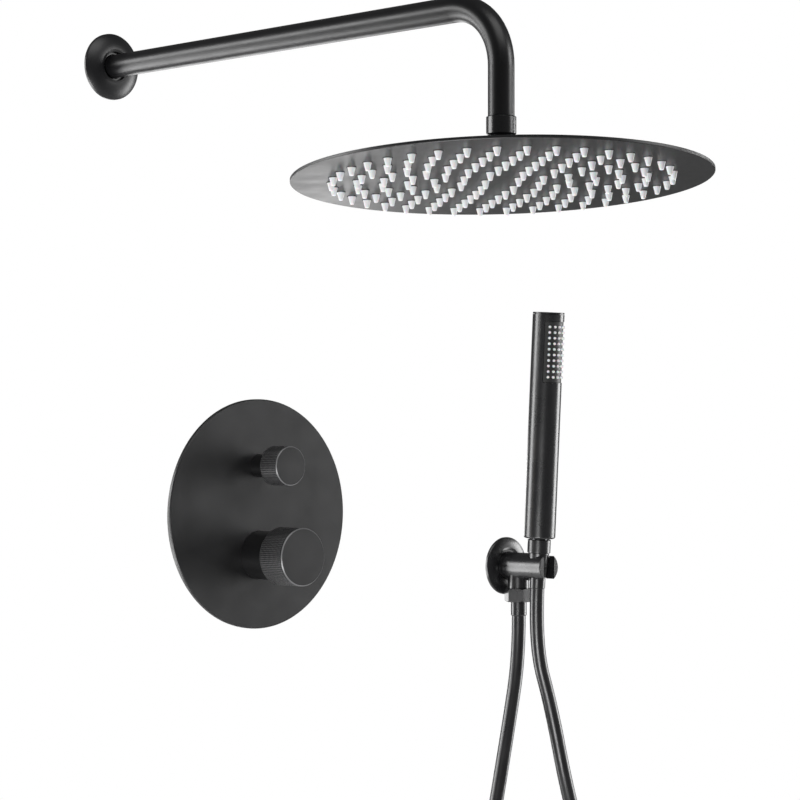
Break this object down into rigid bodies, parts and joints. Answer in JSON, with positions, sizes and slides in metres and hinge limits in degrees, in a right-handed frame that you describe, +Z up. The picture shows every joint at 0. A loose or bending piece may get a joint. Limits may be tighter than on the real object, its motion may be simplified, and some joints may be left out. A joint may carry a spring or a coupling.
{
  "type": "concealed rainfall shower set",
  "caption": "Wall-mounted shower set: arm with round tilting rain head, valve plate with two turning knobs, and a holder with stick hand shower on a smooth hose.",
  "frame": {"origin": "centre of the valve plate's gasket ring on the wall plane", "axes": "+Y into the wall, +Z up, +X to the right for someone who faces the wall"},
  "size_m": [0.7424, 0.6591, 1.0215],
  "materials": {
    "matte_black": "satin black coating",
    "polished_metal": "polished",
    "brass": "machined",
    "steel": "brushed",
    "rubber": "matte",
    "silicone": "soft translucent grey",
    "white_plastic": "natural",
    "black_plastic": "fine texture",
    "hose": "smooth satin"
  },
  "bodies": {
    "root": {"arm_tube": "matte_black", "arm_wall_nipple": "brass", "arm_end_nipple": "brass", "swivel_collar": "matte_black", "swivel_washer": "rubber", "ball_stud": "polished_metal", "trim_plate": "matte_black", "plate_gasket": "rubber", "temperature_cartridge": "white_plastic", "temperature_cartridge_nut": "brass", "temperature_sleeve": "matte_black", "temperature_sleeve_oring": "rubber", "diverter_cartridge": "white_plastic", "diverter_cartridge_nut": "brass", "diverter_sleeve": "matte_black", "diverter_sleeve_oring": "rubber", "valve_body": "brass", "inlet_check_valves": "white_plastic", "outlet_wall_nipple": "brass", "outlet_body": "matte_black", "outlet_flange": "matte_black", "outlet_flange_oring": "rubber", "outlet_hose_spigot": "brass", "hose_washer_outlet": "rubber", "hose_nut_hex": "matte_black", "hose_ferrule_outlet": "matte_black", "shower_hose": "hose"},
    "arm_flange": {"arm_flange": "matte_black", "arm_flange_oring": "rubber"},
    "ball_joint": {"ball_liner": "white_plastic"},
    "ball_cup": {"ball_seat_ring": "white_plastic", "ball_seal": "rubber"},
    "rain_head": {"ball_nut": "matte_black", "head_hub": "matte_black", "filter_screen": "steel", "head_top_plate": "matte_black", "hub_locknut": "brass", "head_spray_plate": "matte_black", "head_nozzle_mat": "silicone"},
    "temperature_control": {"temperature_knob": "matte_black", "temperature_spindle": "brass", "temperature_spline_adapter": "white_plastic", "temperature_grub_screw": "steel"},
    "diverter_control": {"diverter_knob": "matte_black", "diverter_spindle": "brass", "diverter_spline_adapter": "white_plastic", "diverter_grub_screw": "steel"},
    "hose_end": {"hose_cone_nut": "matte_black", "hose_washer_handset": "rubber", "hose_ferrule_handset": "matte_black"},
    "hand_shower": {"handset_nipple": "brass", "handset_tube": "matte_black", "handset_top_cap": "matte_black", "handset_spray_panel": "black_plastic", "handset_nozzles": "silicone", "handset_waterway": "white_plastic"}
  },
  "joints": [
    {"name": "arm_flange_slide", "type": "slide", "parent": "root", "child": "arm_flange", "axis": [0, -1, 0], "range_m": [0, 0.38]},
    {"name": "head_tilt", "type": "hinge", "parent": "root", "child": "ball_joint", "pos_m": [-0.16, -0.45, 0.27029], "axis": [1, 0, 0], "range_deg": [-7.8, 16.2]},
    {"name": "head_side_tilt", "type": "hinge", "parent": "ball_joint", "child": "ball_cup", "pos_m": [-0.16, -0.45, 0.27029], "axis": [0, 0.9973, -0.0732], "range_deg": [-10.3, 5.7]},
    {"name": "head_spin", "type": "hinge", "parent": "ball_cup", "child": "rain_head", "pos_m": [-0.16, -0.45, 0.27029], "axis": [0.0401, 0.0732, 0.9965], "continuous": true},
    {"name": "temperature_turn", "type": "hinge", "parent": "root", "child": "temperature_control", "pos_m": [0, -0.04, -0.036], "axis": [0, -1, 0], "range_deg": [-70, 200]},
    {"name": "diverter_turn", "type": "hinge", "parent": "root", "child": "diverter_control", "pos_m": [0, -0.03, 0.042], "axis": [0, -1, 0], "range_deg": [-90, 90]},
    {"name": "handset_lift", "type": "slide", "parent": "root", "child": "hose_end", "axis": [0, -0.0576, 0.9983], "range_m": [0, 0.04], "deforming": ["shower_hose"]},
    {"name": "handset_turn", "type": "hinge", "parent": "hose_end", "child": "hand_shower", "pos_m": [0.315, -0.043, -0.056], "axis": [0, -0.0576, 0.9983], "continuous": true}
  ]
}
